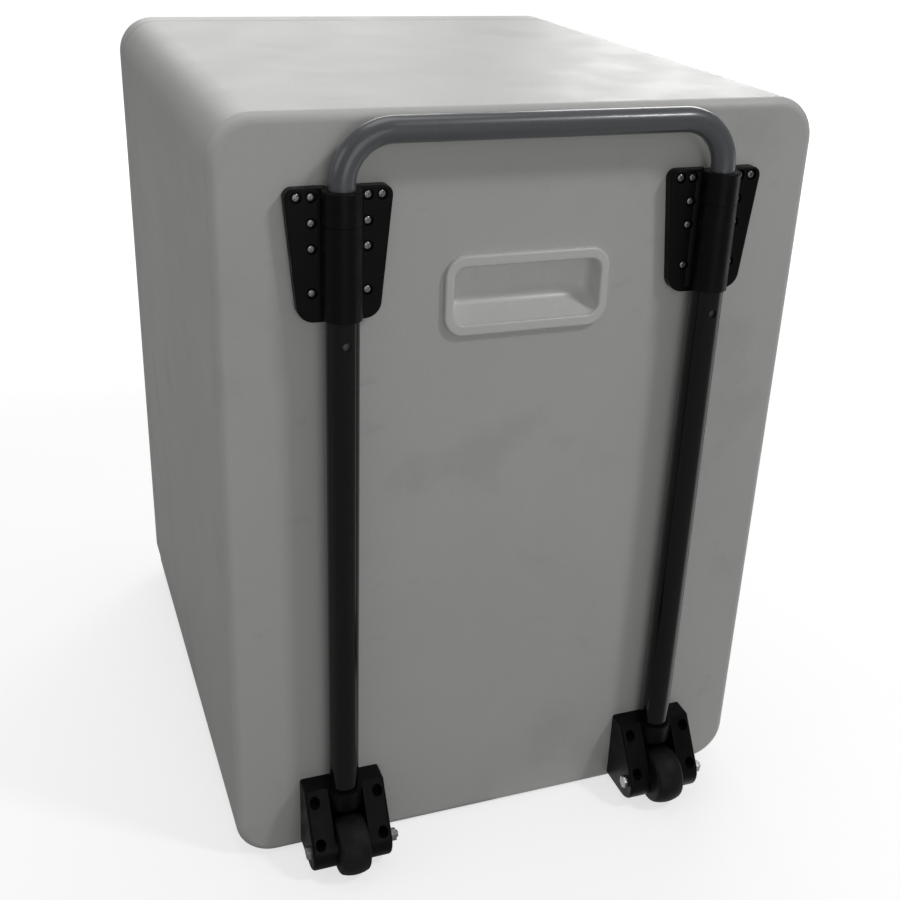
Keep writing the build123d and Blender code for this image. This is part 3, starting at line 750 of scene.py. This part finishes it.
@dataclass(frozen=True)
class WheelRubber:
    """Solid rubber with a scuffed, dusty tread."""

    name: str
    colour: Colour
    dust: Colour
    roughness: float
    specular: float
    film: Patches = Patches(Noise(120.0, 7.0), 0.46, 0.72, 0.55)
    scuffs: Patches = Patches(Noise(420.0, 4.0, (0.2, 1.0, 1.0)), 0.6, 0.72, 0.5)
    fine: Noise = Noise(900.0, 4.0)
    fine_depth: float = 0.00008
    coarse: Noise = Noise(160.0)
    coarse_depth: float = 0.00015

    def build(self) -> bpy.types.Material:
        """Lay out the material.

        Returns:
            The material.
        """
        shader = Shader(self.name)
        shader.layers(self.colour, (self.film, self.dust), (self.scuffs, self.dust))
        shader.set(Roughness=self.roughness, Specular_IOR_Level=self.specular)
        fine, coarse = shader.noise(self.fine), shader.noise(self.coarse)
        shader.relief((fine, self.fine_depth), (coarse, self.coarse_depth))
        return shader.material


@dataclass(frozen=True)
class CutFoam:
    """Rigid insulation foam with small open cells."""

    name: str
    colour: Colour
    pore: Colour
    roughness: float = 0.92
    tone: Patches = Patches(Noise(25.0), 0.4, 0.7)
    cell_scale: float = 600.0
    cell_range: tuple[float, float] = (0.1, 0.7)
    cell_depth: float = 0.0003

    def build(self) -> bpy.types.Material:
        """Lay out the material.

        Returns:
            The material.
        """
        shader = Shader(self.name)
        shader.layers(self.colour, (self.tone, self.pore))
        shader.set(Roughness=self.roughness)
        cells = shader.node("ShaderNodeTexVoronoi", Vector=shader.place(), Scale=self.cell_scale)
        depth = shader.spread(cells.outputs["Distance"], *self.cell_range, 1.0, 0.0)
        shader.relief((depth, self.cell_depth))
        return shader.material


class Finishes:
    """All finishes of the cooler, built once."""

    def __init__(self) -> None:
        """Build every material."""
        smooth_peel = 0.00002
        kinds = {
            "pale_shell": MouldedSkin(
                "pale_moulded_skin", (0.62, 0.62, 0.60), (0.60, 0.60, 0.585), (0.50, 0.50, 0.485), 0.47
            ),
            "white_liner": MouldedSkin(
                "white_liner_plastic",
                (0.74, 0.75, 0.75),
                (0.73, 0.74, 0.74),
                (0.70, 0.71, 0.71),
                0.26,
                smooth_peel,
            ),
            "foam": CutFoam("insulation_foam", (0.80, 0.70, 0.45), (0.68, 0.58, 0.36)),
            "white_pocket": MouldedSkin(
                "white_pocket_plastic",
                (0.76, 0.76, 0.75),
                (0.75, 0.75, 0.74),
                (0.73, 0.73, 0.72),
                0.28,
                smooth_peel,
            ),
            "black_plastic": GrainedPlastic(
                "black_moulding", (0.0040, 0.0043, 0.0044), (0.009, 0.0095, 0.0095), 0.36, 0.12
            ),
            "black_tube": TubePaint(
                "gloss_black_paint",
                (0.0032, 0.0035, 0.0037),
                (0.005, 0.0054, 0.0056),
                0.12,
                specular=0.28,
            ),
            "grey_tube": TubePaint(
                "grey_handle_paint",
                (0.112, 0.119, 0.127),
                (0.124, 0.131, 0.139),
                0.34,
                coat=0.3,
                metallic=0.1,
            ),
            "wheel_rubber": WheelRubber(
                "wheel_rubber", (0.006, 0.006, 0.0065), (0.018, 0.0175, 0.017), 0.55, 0.25
            ),
            "hub_plastic": GrainedPlastic("hub_moulding", (0.02, 0.02, 0.021), (0.05, 0.05, 0.05), 0.5),
            "gasket_rubber": GrainedPlastic("gasket_rubber", (0.06, 0.06, 0.06), (0.1, 0.1, 0.1), 0.7),
            "latch_plastic": GrainedPlastic(
                "latch_moulding", (0.028, 0.028, 0.030), (0.05, 0.05, 0.052), 0.4
            ),
            "zinc_steel": PlatedSteel("bright_zinc", (0.36, 0.37, 0.38), (0.25, 0.25, 0.25), 0.30),
        }
        self.by_slot = {slot: kind.build() for slot, kind in kinds.items()}

    def coat(self, piece: bpy.types.Object, slot: str) -> None:
        """Give an object the finish of one of the record's slots.

        Args:
            piece: Object to coat.
            slot: The record's material slot.
        """
        piece.data.materials.clear()
        piece.data.materials.append(self.by_slot[slot])


class Dresser:
    """Joins finished pieces to the frame and logs each one."""

    def __init__(self, finishes: Finishes) -> None:
        """Read which body and slot each node has.

        Args:
            finishes: The materials.
        """
        record = frame["record"]
        self.finishes = finishes
        self.slots = {entry["node"]: entry["material_slot"] for entry in record["subparts"]}
        bodies = record["behaviour"]["bodies"]
        self.bodies = {node: body for body, nodes in bodies.items() for node in nodes}

    def dress(self, piece: bpy.types.Object, node: str) -> None:
        """Let a piece stand for one node, with its body, slot and finish.

        Args:
            piece: The finished piece.
            node: The node it stands for.
        """
        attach(piece, self.bodies[node])
        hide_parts(node)
        self.finishes.coat(piece, self.slots[node])
        LOG.info("%s: %d faces on %s", piece.name, len(piece.data.polygons), self.bodies[node])

    def coat_nodes(self) -> None:
        """Give every node's own object its finish."""
        for name, node in frame["nodes"].items():
            self.finishes.coat(node, self.slots[name])


@dataclass
class Cabinet:
    """The moulded box and its hand-grip pocket."""

    corner_radius: float = 34 * MM
    back_edge_radius: float = 8 * MM
    wall: float = 4 * MM
    pocket_radius: float = 9 * MM
    pocket_rim: float = 7.5 * MM
    pocket_rim_tall: float = 9 * MM
    pocket_wall: float = 2.5 * MM
    pocket_gap: float = 0.4 * MM
    pocket_edge: float = 2 * MM
    slope_start: float = -1.5 * MM
    slope_rise: float = 14 * MM
    scoop_radius: float = 7.5 * MM
    lip_fold: float = 0.5
    corner_steps: int = 16
    edge_steps: int = 7
    hole_steps: int = 8
    rim_steps: int = 12
    basin_steps: int = 10
    scoop_steps: int = 6
    lip_steps: int = 5

    def opening(self, grow: float) -> tuple[Vector, Vector]:
        """Give the corners of the pocket's opening, grown sideways.

        Args:
            grow: How far it grows on each side.

        Returns:
            The lowest and highest corner, as deep as the pocket with its wall.
        """
        low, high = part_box("grip_pocket")
        inset = Vector((self.pocket_rim - grow, 0, self.pocket_rim_tall - grow))
        return low + inset, high - inset

    def build_shell(self) -> bpy.types.Object:
        """Model the outer shell as a rounded box, hollow and open to the door.

        Returns:
            The shell.
        """
        low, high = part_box("outer_shell")
        shell = rounded_block("cabinet_shell", low, high, self.corner_radius, self.corner_steps)
        Workbench.round_over(shell, at_level(Axis3.Y, low.y), self.back_edge_radius, self.edge_steps)
        Workbench.remove_faces(shell, at_level(Axis3.Y, high.y))
        Workbench.modify(shell, "SOLIDIFY", thickness=self.wall, offset=-1.0, use_even_offset=True)
        hole_low, hole_high = self.opening(self.pocket_wall + self.pocket_gap)
        hole_radius = self.pocket_radius + self.pocket_wall + self.pocket_gap
        hole = rounded_block("pocket_hole", hole_low, hole_high, hole_radius, self.hole_steps)
        Workbench.combine(shell, [hole], "DIFFERENCE")
        Workbench.smooth(shell)
        return shell

    def basin(self, name: str, front: float, grow: float) -> bpy.types.Object:
        """Make the form of the pocket's inside, with a sloped and softly rounded floor.

        Args:
            name: Name of the new object.
            front: Where it starts, on Y.
            grow: How far it grows on each side.

        Returns:
            The form.
        """
        low, high = self.opening(grow)
        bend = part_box("outer_shell")[0].y + self.slope_start
        deep = high.y - self.pocket_wall + grow
        form = Workbench.block(name, Vector((low.x, front, low.z)), Vector((high.x, bend, high.z)))
        Workbench.choose(form, Pick.FACE, at_level(Axis3.Y, bend))
        bpy.ops.mesh.extrude_region_move(TRANSFORM_OT_translate={"value": (0, deep - bend, 0)})
        bottom, end = at_level(Axis3.Z, low.z), at_level(Axis3.Y, deep)
        Workbench.choose(form, Pick.EDGE, lambda edge: bottom(edge) and end(edge))
        bpy.ops.transform.translate(value=(0, 0, self.slope_rise))
        across, up = along(Axis3.X), along(Axis3.Z)
        radius = self.pocket_radius + grow
        Workbench.round_over(form, lambda edge: not (across(edge) or up(edge)), radius, self.basin_steps)
        Workbench.round_over(form, end, self.scoop_radius + grow, self.scoop_steps)
        return form

    def build_pocket(self) -> bpy.types.Object:
        """Model the hand-grip pocket with its proud rim.

        Returns:
            The pocket.
        """
        low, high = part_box("grip_pocket")
        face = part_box("outer_shell")[0].y
        rim_radius = self.pocket_radius + self.pocket_rim
        rim_end = Vector((high.x, face, high.z))
        pocket = rounded_block("hand_grip_pocket", low, rim_end, rim_radius, self.rim_steps)
        outside = self.basin("pocket_outside", (low.y + face) / 2, self.pocket_wall)
        Workbench.combine(pocket, [outside], "UNION")
        inside = self.basin("pocket_inside", low.y - self.pocket_wall, 0.0)
        Workbench.combine(pocket, [inside], "DIFFERENCE")
        level = at_level(Axis3.Y, low.y)
        Workbench.round_over(
            pocket,
            lambda edge: level(edge) and edge.calc_face_angle(0.0) > self.lip_fold,
            self.pocket_edge,
            self.lip_steps,
        )
        Workbench.smooth(pocket)
        return pocket

    def build(self, dresser: Dresser) -> None:
        """Build and dress the cabinet.

        Args:
            dresser: Joins the pieces to the frame.
        """
        dresser.dress(self.build_shell(), "outer_shell")
        dresser.dress(self.build_pocket(), "grip_pocket")


@dataclass
class Door:
    """The door skin on the far side of the box."""

    corner_radius: float = 34 * MM
    front_edge_radius: float = 6 * MM
    wall: float = 4 * MM
    latch_gap: float = 0.2 * MM
    latch_rim: float = 3.1 * MM
    corner_steps: int = 16
    edge_steps: int = 6
    hole_sides: int = 96

    def build(self, dresser: Dresser) -> None:
        """Build and dress the door skin, hollow and with a round hole for the latch.

        Args:
            dresser: Joins the piece to the frame.
        """
        low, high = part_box("door_skin")
        skin = rounded_block("door_outer_skin", low, high, self.corner_radius, self.corner_steps)
        Workbench.round_over(skin, at_level(Axis3.Y, high.y), self.front_edge_radius, self.edge_steps)
        Workbench.remove_faces(skin, at_level(Axis3.Y, low.y))
        Workbench.modify(skin, "SOLIDIFY", thickness=self.wall, offset=-1.0, use_even_offset=True)
        latch_low, latch_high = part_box("latch_housing")
        centre = (latch_low + latch_high) / 2
        radius = (latch_high.x - latch_low.x) / 2 - self.latch_rim + self.latch_gap
        start = Vector((centre.x, low.y, centre.z))
        end = start + Vector((0, 2 * (high.y - low.y), 0))
        hole = Workbench.bar("latch_hole", start, end, radius, self.hole_sides)
        Workbench.combine(skin, [hole], "DIFFERENCE")
        Workbench.smooth(skin)
        dresser.dress(skin, "door_skin")


@dataclass
class Trolley:
    """The telescopic tubes, the U-shaped handle and the springs of its snap buttons."""

    tube_sides: int = 96
    tube_wall: float = 1.5 * MM
    hole_radius: float = 3.2 * MM
    hole_drop: float = 87 * MM
    hole_sides: int = 40
    bend_steps: int = 28
    bend_radius: float = 37 * MM
    handle_sides: int = 64
    strip: float = 0.8 * MM
    press: float = 3 * MM

    def build_tube(self, node: str) -> bpy.types.Object:
        """Model one outer tube with a thin wall and a lock hole.

        Args:
            node: The tube's node.

        Returns:
            The tube.
        """
        low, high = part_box(node)
        centre = (low + high) / 2
        radius = (high.x - low.x) / 2
        foot = Vector((centre.x, centre.y, low.z))
        head = Vector((centre.x, centre.y, high.z))
        tube = Workbench.bar(f"{node}_drawn", foot, head, radius, self.tube_sides, capped=False)
        Workbench.modify(tube, "SOLIDIFY", thickness=self.tube_wall, offset=-1.0)
        lock = head - Vector((0, 0, self.hole_drop))
        out = lock - Vector((0, 2 * radius, 0))
        drill = Workbench.bar("lock_drill", lock, out, self.hole_radius, self.hole_sides)
        Workbench.combine(tube, [drill], "DIFFERENCE")
        Workbench.smooth(tube)
        return tube

    def build_handle(self) -> bpy.types.Object:
        """Model the handle: a round section drawn up, bent, drawn across, bent and drawn down.

        Returns:
            The handle.
        """
        low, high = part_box("u_handle")
        radius = (high.y - low.y) / 2
        axis_y = (low.y + high.y) / 2
        left, right = low.x + radius, high.x - radius
        bend_z = high.z - radius - self.bend_radius
        Workbench.clear()
        bpy.ops.mesh.primitive_circle_add(
            vertices=self.handle_sides, radius=radius, fill_type="NGON", location=(left, axis_y, low.z)
        )
        handle = bpy.context.object
        handle.name = "u_handle_tube"
        Workbench.settle(handle)
        Workbench.open_up(handle)
        quarter = (math.pi / 2, Vector((0, -1, 0)))
        self.draw(Vector((0, 0, bend_z - low.z)))
        self.bend(Vector((left + self.bend_radius, axis_y, bend_z)), *quarter)
        self.draw(Vector((right - left - 2 * self.bend_radius, 0, 0)))
        self.bend(Vector((right - self.bend_radius, axis_y, bend_z)), *quarter)
        self.draw(Vector((0, 0, low.z - bend_z)))
        bpy.ops.object.mode_set(mode="OBJECT")
        Workbench.smooth(handle)
        return handle

    def draw(self, run: Vector) -> None:
        """Draw the selected section straight on.

        Args:
            run: Direction and length.
        """
        bpy.ops.mesh.extrude_region_move(TRANSFORM_OT_translate={"value": run})

    def bend(self, centre: Vector, angle: float, axis: Vector) -> None:
        """Bend the selected section about a centre.

        Args:
            centre: Centre of the bend.
            angle: How far it turns.
            axis: Axis that it turns about.
        """
        bpy.ops.mesh.spin(steps=self.bend_steps, angle=angle, center=centre, axis=axis)

    def build_spring(self, node: str) -> bpy.types.Object:
        """Model one hairpin spring: a flat strip drawn up, turned over and drawn down.

        Args:
            node: The spring's node.

        Returns:
            The spring.
        """
        low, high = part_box(node)
        middle = (low + high) / 2
        turn_z = high.z - (high.y - low.y) / 2
        Workbench.clear()
        bpy.ops.mesh.primitive_plane_add(size=1.0, location=(middle.x, low.y + self.strip / 2, low.z))
        spring = bpy.context.object
        spring.name = f"{node}_strip"
        spring.scale = (high.x - low.x, self.strip, 1.0)
        Workbench.settle(spring)
        Workbench.open_up(spring)
        self.draw(Vector((0, 0, turn_z - low.z)))
        self.bend(Vector((middle.x, middle.y, turn_z)), math.pi, Vector((1, 0, 0)))
        self.draw(Vector((0, 0, low.z - turn_z)))
        bpy.ops.object.mode_set(mode="OBJECT")
        Workbench.smooth(spring)
        return spring

    def build(self, dresser: Dresser) -> None:
        """Build and dress the tubes, the handle and the springs, each spring with a mesh of its own.

        Args:
            dresser: Joins the pieces to the frame.
        """
        for hand in HANDS:
            node = f"{hand}_outer_tube"
            dresser.dress(self.build_tube(node), node)
        dresser.dress(self.build_handle(), "u_handle")
        for hand in HANDS:
            node = f"{hand}_button_spring"
            spring = self.build_spring(node)
            dresser.dress(spring, node)
            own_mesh(spring)


@dataclass
class Wheel:
    """A solid tyre with a crowned tread."""

    sides: int = 96
    rings: int = 10
    edge_drop: float = 3.0 * MM
    edge_radius: float = 2.5 * MM
    edge_steps: int = 5
    hub_radius: float = 12 * MM

    def build_tyre(self, node: str) -> bpy.types.Object:
        """Model one tyre.

        Args:
            node: The tyre's node.

        Returns:
            The tyre.
        """
        low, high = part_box(node)
        centre = (low + high) / 2
        radius = (high.z - low.z) / 2
        half = (high.x - low.x) / 2
        out = Vector((half, 0, 0))
        tyre = Workbench.bar(f"{node}_moulded", centre - out, centre + out, radius, self.sides)
        Workbench.choose(tyre, Pick.EDGE, along(Axis3.X))
        bpy.ops.mesh.subdivide(number_cuts=self.rings)
        bpy.ops.object.mode_set(mode="OBJECT")
        for step in range(self.rings + 2):
            across = -half + 2 * half * step / (self.rings + 1)
            size = 1 - self.edge_drop / radius * (across / half) ** 2
            if Workbench.choose(tyre, Pick.EDGE, at_level(Axis3.X, centre.x + across)):
                middle = centre + Vector((across, 0, 0))
                bpy.ops.transform.resize(value=(1, size, size), center_override=middle)
            bpy.ops.object.mode_set(mode="OBJECT")
        for end in (low.x, high.x):
            Workbench.round_over(tyre, at_level(Axis3.X, end), self.edge_radius, self.edge_steps)
        core = Workbench.bar("hub_core", centre - 2 * out, centre + 2 * out, self.hub_radius, self.sides)
        Workbench.combine(tyre, [core], "DIFFERENCE")
        Workbench.smooth(tyre)
        return tyre

    def build(self, dresser: Dresser) -> None:
        """Build and dress both tyres.

        Args:
            dresser: Joins the pieces to the frame.
        """
        for hand in HANDS:
            node = f"{hand}_wheel_tyre"
            dresser.dress(self.build_tyre(node), node)


class Facing(Enum):
    """Which way a screw's head faces."""

    BACK = ("X", 1, -1)
    RIGHT = ("Y", 0, 1)

    def __init__(self, about: str, axis: int, sign: int) -> None:
        """Work out the turn that brings +Z to this direction.

        Args:
            about: Axis of the turn.
            axis: Row axis that the screw lies along.
            sign: Which end of that axis the head is on.
        """
        self.turn = Matrix.Rotation(math.pi / 2, 4, about)
        self.axis = axis
        self.sign = sign


@dataclass
class Screws:
    """Pan-head screws with a domed head and a cross recess."""

    head_share: float = 0.72
    head_sides: int = 40
    dome_share: float = 0.62
    dome_steps: int = 5
    crease: float = 30.0
    cross_length: float = 1.25
    cross_width: float = 0.30
    cross_depth: float = 0.62
    cross_middle: float = 0.36
    shank_share: float = 0.56
    shank_start: float = 0.9
    shank_sides: int = 24
    twist: float = 0.65
    groups: tuple[tuple[str, Facing], ...] = (
        ("left_bracket_screws", Facing.BACK),
        ("right_bracket_screws", Facing.BACK),
        ("left_block_screws", Facing.BACK),
        ("right_block_screws", Facing.BACK),
        ("cabinet_hinge_screws", Facing.RIGHT),
        ("door_hinge_screws", Facing.RIGHT),
        ("keeper_screws", Facing.RIGHT),
    )

    def build_one(self, radius: float, length: float) -> bpy.types.Object:
        """Model one screw standing on its tip, with the top of its head at the origin.

        Args:
            radius: Radius of the head.
            length: Length from the top of the head to the tip.

        Returns:
            The screw.
        """
        height = radius * self.head_share
        top = Vector((0, 0, 0))
        seat = Vector((0, 0, -height))
        tip = Vector((0, 0, -length))
        screw = Workbench.bar("pan_screw", seat, top, radius, self.head_sides)
        Workbench.round_over(screw, at_level(Axis3.Z, 0.0), height * self.dome_share, self.dome_steps)
        neck, shank_radius = seat * self.shank_start, radius * self.shank_share
        shank = Workbench.bar("screw_shank", tip, neck, shank_radius, self.shank_sides)
        half = Vector((self.cross_length, self.cross_width, self.cross_depth * 2)) * radius / 2
        across = Vector((half.y, half.x, half.z))
        slots = [Workbench.block("cross_slot", -arm, arm) for arm in (half, across)]
        bottom, middle_radius = seat * self.cross_depth, radius * self.cross_middle
        slots.append(Workbench.bar("cross_middle", bottom, -seat, middle_radius, self.shank_sides))
        Workbench.combine(screw, slots, "DIFFERENCE")
        Workbench.combine(screw, [shank], "UNION")
        Workbench.smooth(screw, self.crease)
        return screw

    def build(self, dresser: Dresser) -> None:
        """Model each group's screw once and copy it to every place in the group.

        Args:
            dresser: Joins the groups to the frame.
        """
        for node, facing in self.groups:
            boxes = solids_of(node)
            low, high = boxes[0]
            radius = (high.z - low.z) / 2
            master = self.build_one(radius, high[facing.axis] - low[facing.axis])
            copies = []
            for count, (low, high) in enumerate(boxes):
                place = (low + high) / 2
                place[facing.axis] = high[facing.axis] if facing.sign > 0 else low[facing.axis]
                twist = Matrix.Rotation(self.twist * count, 4, "Z")
                copies.append(Workbench.copy(master, Matrix.Translation(place) @ facing.turn @ twist))
            bpy.data.objects.remove(master)
            dresser.dress(Workbench.join(f"{node}_driven", copies), node)


@dataclass(frozen=True)
class Lamp:
    """One soft square lamp, with the point it faces, its side and its power in watts."""

    name: str
    place: tuple[float, float, float]
    aim: tuple[float, float, float]
    size: float
    power: float

    def hang(self) -> None:
        """Put the lamp in the scene."""
        data = bpy.data.lights.new(self.name, "AREA")
        data.size = self.size
        data.energy = self.power
        lamp = bpy.data.objects.new(self.name, data)
        lamp.location = self.place
        facing = Vector(self.aim) - Vector(self.place)
        lamp.rotation_euler = facing.to_track_quat("-Z", "Y").to_euler()
        bpy.context.scene.collection.objects.link(lamp)


@dataclass
class Studio:
    """Pale floor, soft light and the camera."""

    camera_place: tuple[float, float, float] = (-0.3719, -1.0810, 0.8042)
    camera_right: tuple[float, float, float] = (0.93828873, -0.34375902, 0.03800006)
    camera_down: tuple[float, float, float] = (-0.11238024, -0.4069496, -0.90651128)
    camera_forward: tuple[float, float, float] = (0.32708554, 0.84629886, -0.42046794)
    focal_pixels: float = 1252.08
    centre_pixel: tuple[float, float] = (463.74, 434.09)
    sensor: float = 36.0
    clip_start: float = 0.01
    floor_side: float = 14.0
    floor_seen: Colour = (0.50, 0.50, 0.50)
    floor_bounce: Colour = (0.30, 0.30, 0.30)
    floor_roughness: float = 0.9
    floor_specular: float = 0.1
    floor_reach: tuple[float, float] = (0.6, 3.0)
    floor_glow: tuple[float, float] = (0.68, 0.95)
    floor_shine: float = 0.18
    streak_shine: float = 1.0
    streak_from: float = -0.256
    streak_turn: tuple[float, float] = (1.20, 1.40)
    sky: float = 0.15
    lamps: tuple[Lamp, ...] = (
        Lamp("overhead_softbox", (-0.1, 0.3, 2.7), (0.0, 0.0, 0.6), 1.6, 14.5),
        Lamp("front_softbox", (1.3, -1.4, 2.4), (0.0, 0.0, 0.5), 0.35, 15.0),
        Lamp("far_window", (2.3, 3.0, 1.8), (0.0, 0.0, 0.6), 1.6, 36.0),
        Lamp("far_left_window", (0.3, 3.0, 1.5), (0.0, 0.0, 0.6), 1.6, 15.0),
        Lamp("low_fill", (-0.2, -3.0, 0.8), (0.0, -0.1, 0.3), 1.6, 11.0),
        Lamp("left_fill", (-2.6, -0.2, 1.5), (0.0, 0.0, 0.3), 1.4, 7.5),
    )

    def build_camera(self) -> None:
        """Set the camera where the photograph was taken from."""
        right, down = Vector(self.camera_right), Vector(self.camera_down)
        turn = Matrix((right, -down, -Vector(self.camera_forward))).transposed().to_4x4()
        data = bpy.data.cameras.new("photo_camera")
        data.sensor_width = self.sensor
        data.lens = self.focal_pixels / IMAGE_SIDE * self.sensor
        data.shift_x = (IMAGE_SIDE / 2 - self.centre_pixel[0]) / IMAGE_SIDE
        data.shift_y = (self.centre_pixel[1] - IMAGE_SIDE / 2) / IMAGE_SIDE
        data.clip_start = self.clip_start
        camera = bpy.data.objects.new("photo_camera", data)
        camera.matrix_world = Matrix.Translation(self.camera_place) @ turn
        bpy.context.scene.collection.objects.link(camera)
        bpy.context.scene.camera = camera

    def build_floor(self) -> None:
        """Lay a pale floor that bounces less light than it shows."""
        Workbench.clear()
        bpy.ops.mesh.primitive_plane_add(size=self.floor_side)
        floor = bpy.context.object
        floor.name = "studio_floor"
        shader = Shader("studio_floor_paint")
        path = shader.node("ShaderNodeLightPath")
        shine = shader.math("MULTIPLY", path.outputs["Is Glossy Ray"], self.streak_of_light(shader))
        seen = shader.math("MAXIMUM", path.outputs["Is Camera Ray"], shine)
        shader.set(Base_Color=shader.tint(seen, self.floor_bounce, self.floor_seen))
        shader.set(Roughness=self.floor_roughness, Specular_IOR_Level=self.floor_specular)
        away = shader.node("ShaderNodeVectorMath", operation="LENGTH", Vector=shader.place())
        level = shader.spread(away.outputs["Value"], *self.floor_reach, *self.floor_glow)
        shader.set(Emission_Color=WHITE, Emission_Strength=shader.math("MULTIPLY", level, seen))
        floor.data.materials.append(shader.material)

    def streak_of_light(self, shader: Shader) -> bpy.types.NodeSocket:
        """Brighten a wedge of floor on the right, which glints in the tubes.

        Args:
            shader: The floor's shader.

        Returns:
            How much of the floor's glow shows in reflections.
        """
        sides = shader.node("ShaderNodeSeparateXYZ", Vector=shader.place())
        front = shader.math("SUBTRACT", self.streak_from, sides.outputs["Y"])
        turn = shader.math("ARCTAN2", sides.outputs["X"], front)
        return shader.spread(turn, *self.streak_turn, self.floor_shine, self.streak_shine)

    def build_sky(self) -> None:
        """Give the room an even soft glow, white where the camera sees it."""
        world = bpy.data.worlds.new("studio_room")
        bpy.context.scene.world = world
        world.use_nodes = True
        tree = world.node_tree
        back = tree.nodes["Background"]
        path = tree.nodes.new("ShaderNodeLightPath")
        strength = tree.nodes.new("ShaderNodeMapRange")
        strength.inputs["To Min"].default_value = self.sky
        strength.inputs["To Max"].default_value = 1.0
        tree.links.new(path.outputs["Is Camera Ray"], strength.inputs["Value"])
        tree.links.new(strength.outputs["Result"], back.inputs["Strength"])
        back.inputs["Color"].default_value = (*WHITE, 1.0)

    def build(self) -> None:
        """Set up the camera, floor and lights."""
        self.build_camera()
        self.build_floor()
        self.build_sky()
        for lamp in self.lamps:
            lamp.hang()
        bpy.context.scene.view_settings.view_transform = "Standard"


def main() -> None:
    """Build the cooler's pieces in order and set up the studio."""
    dresser = Dresser(Finishes())
    dresser.coat_nodes()
    for assembly in (Cabinet(), Door(), Trolley(), Wheel(), Screws()):
        assembly.build(dresser)
    Studio().build()


if __name__ == "__main__":
    main()
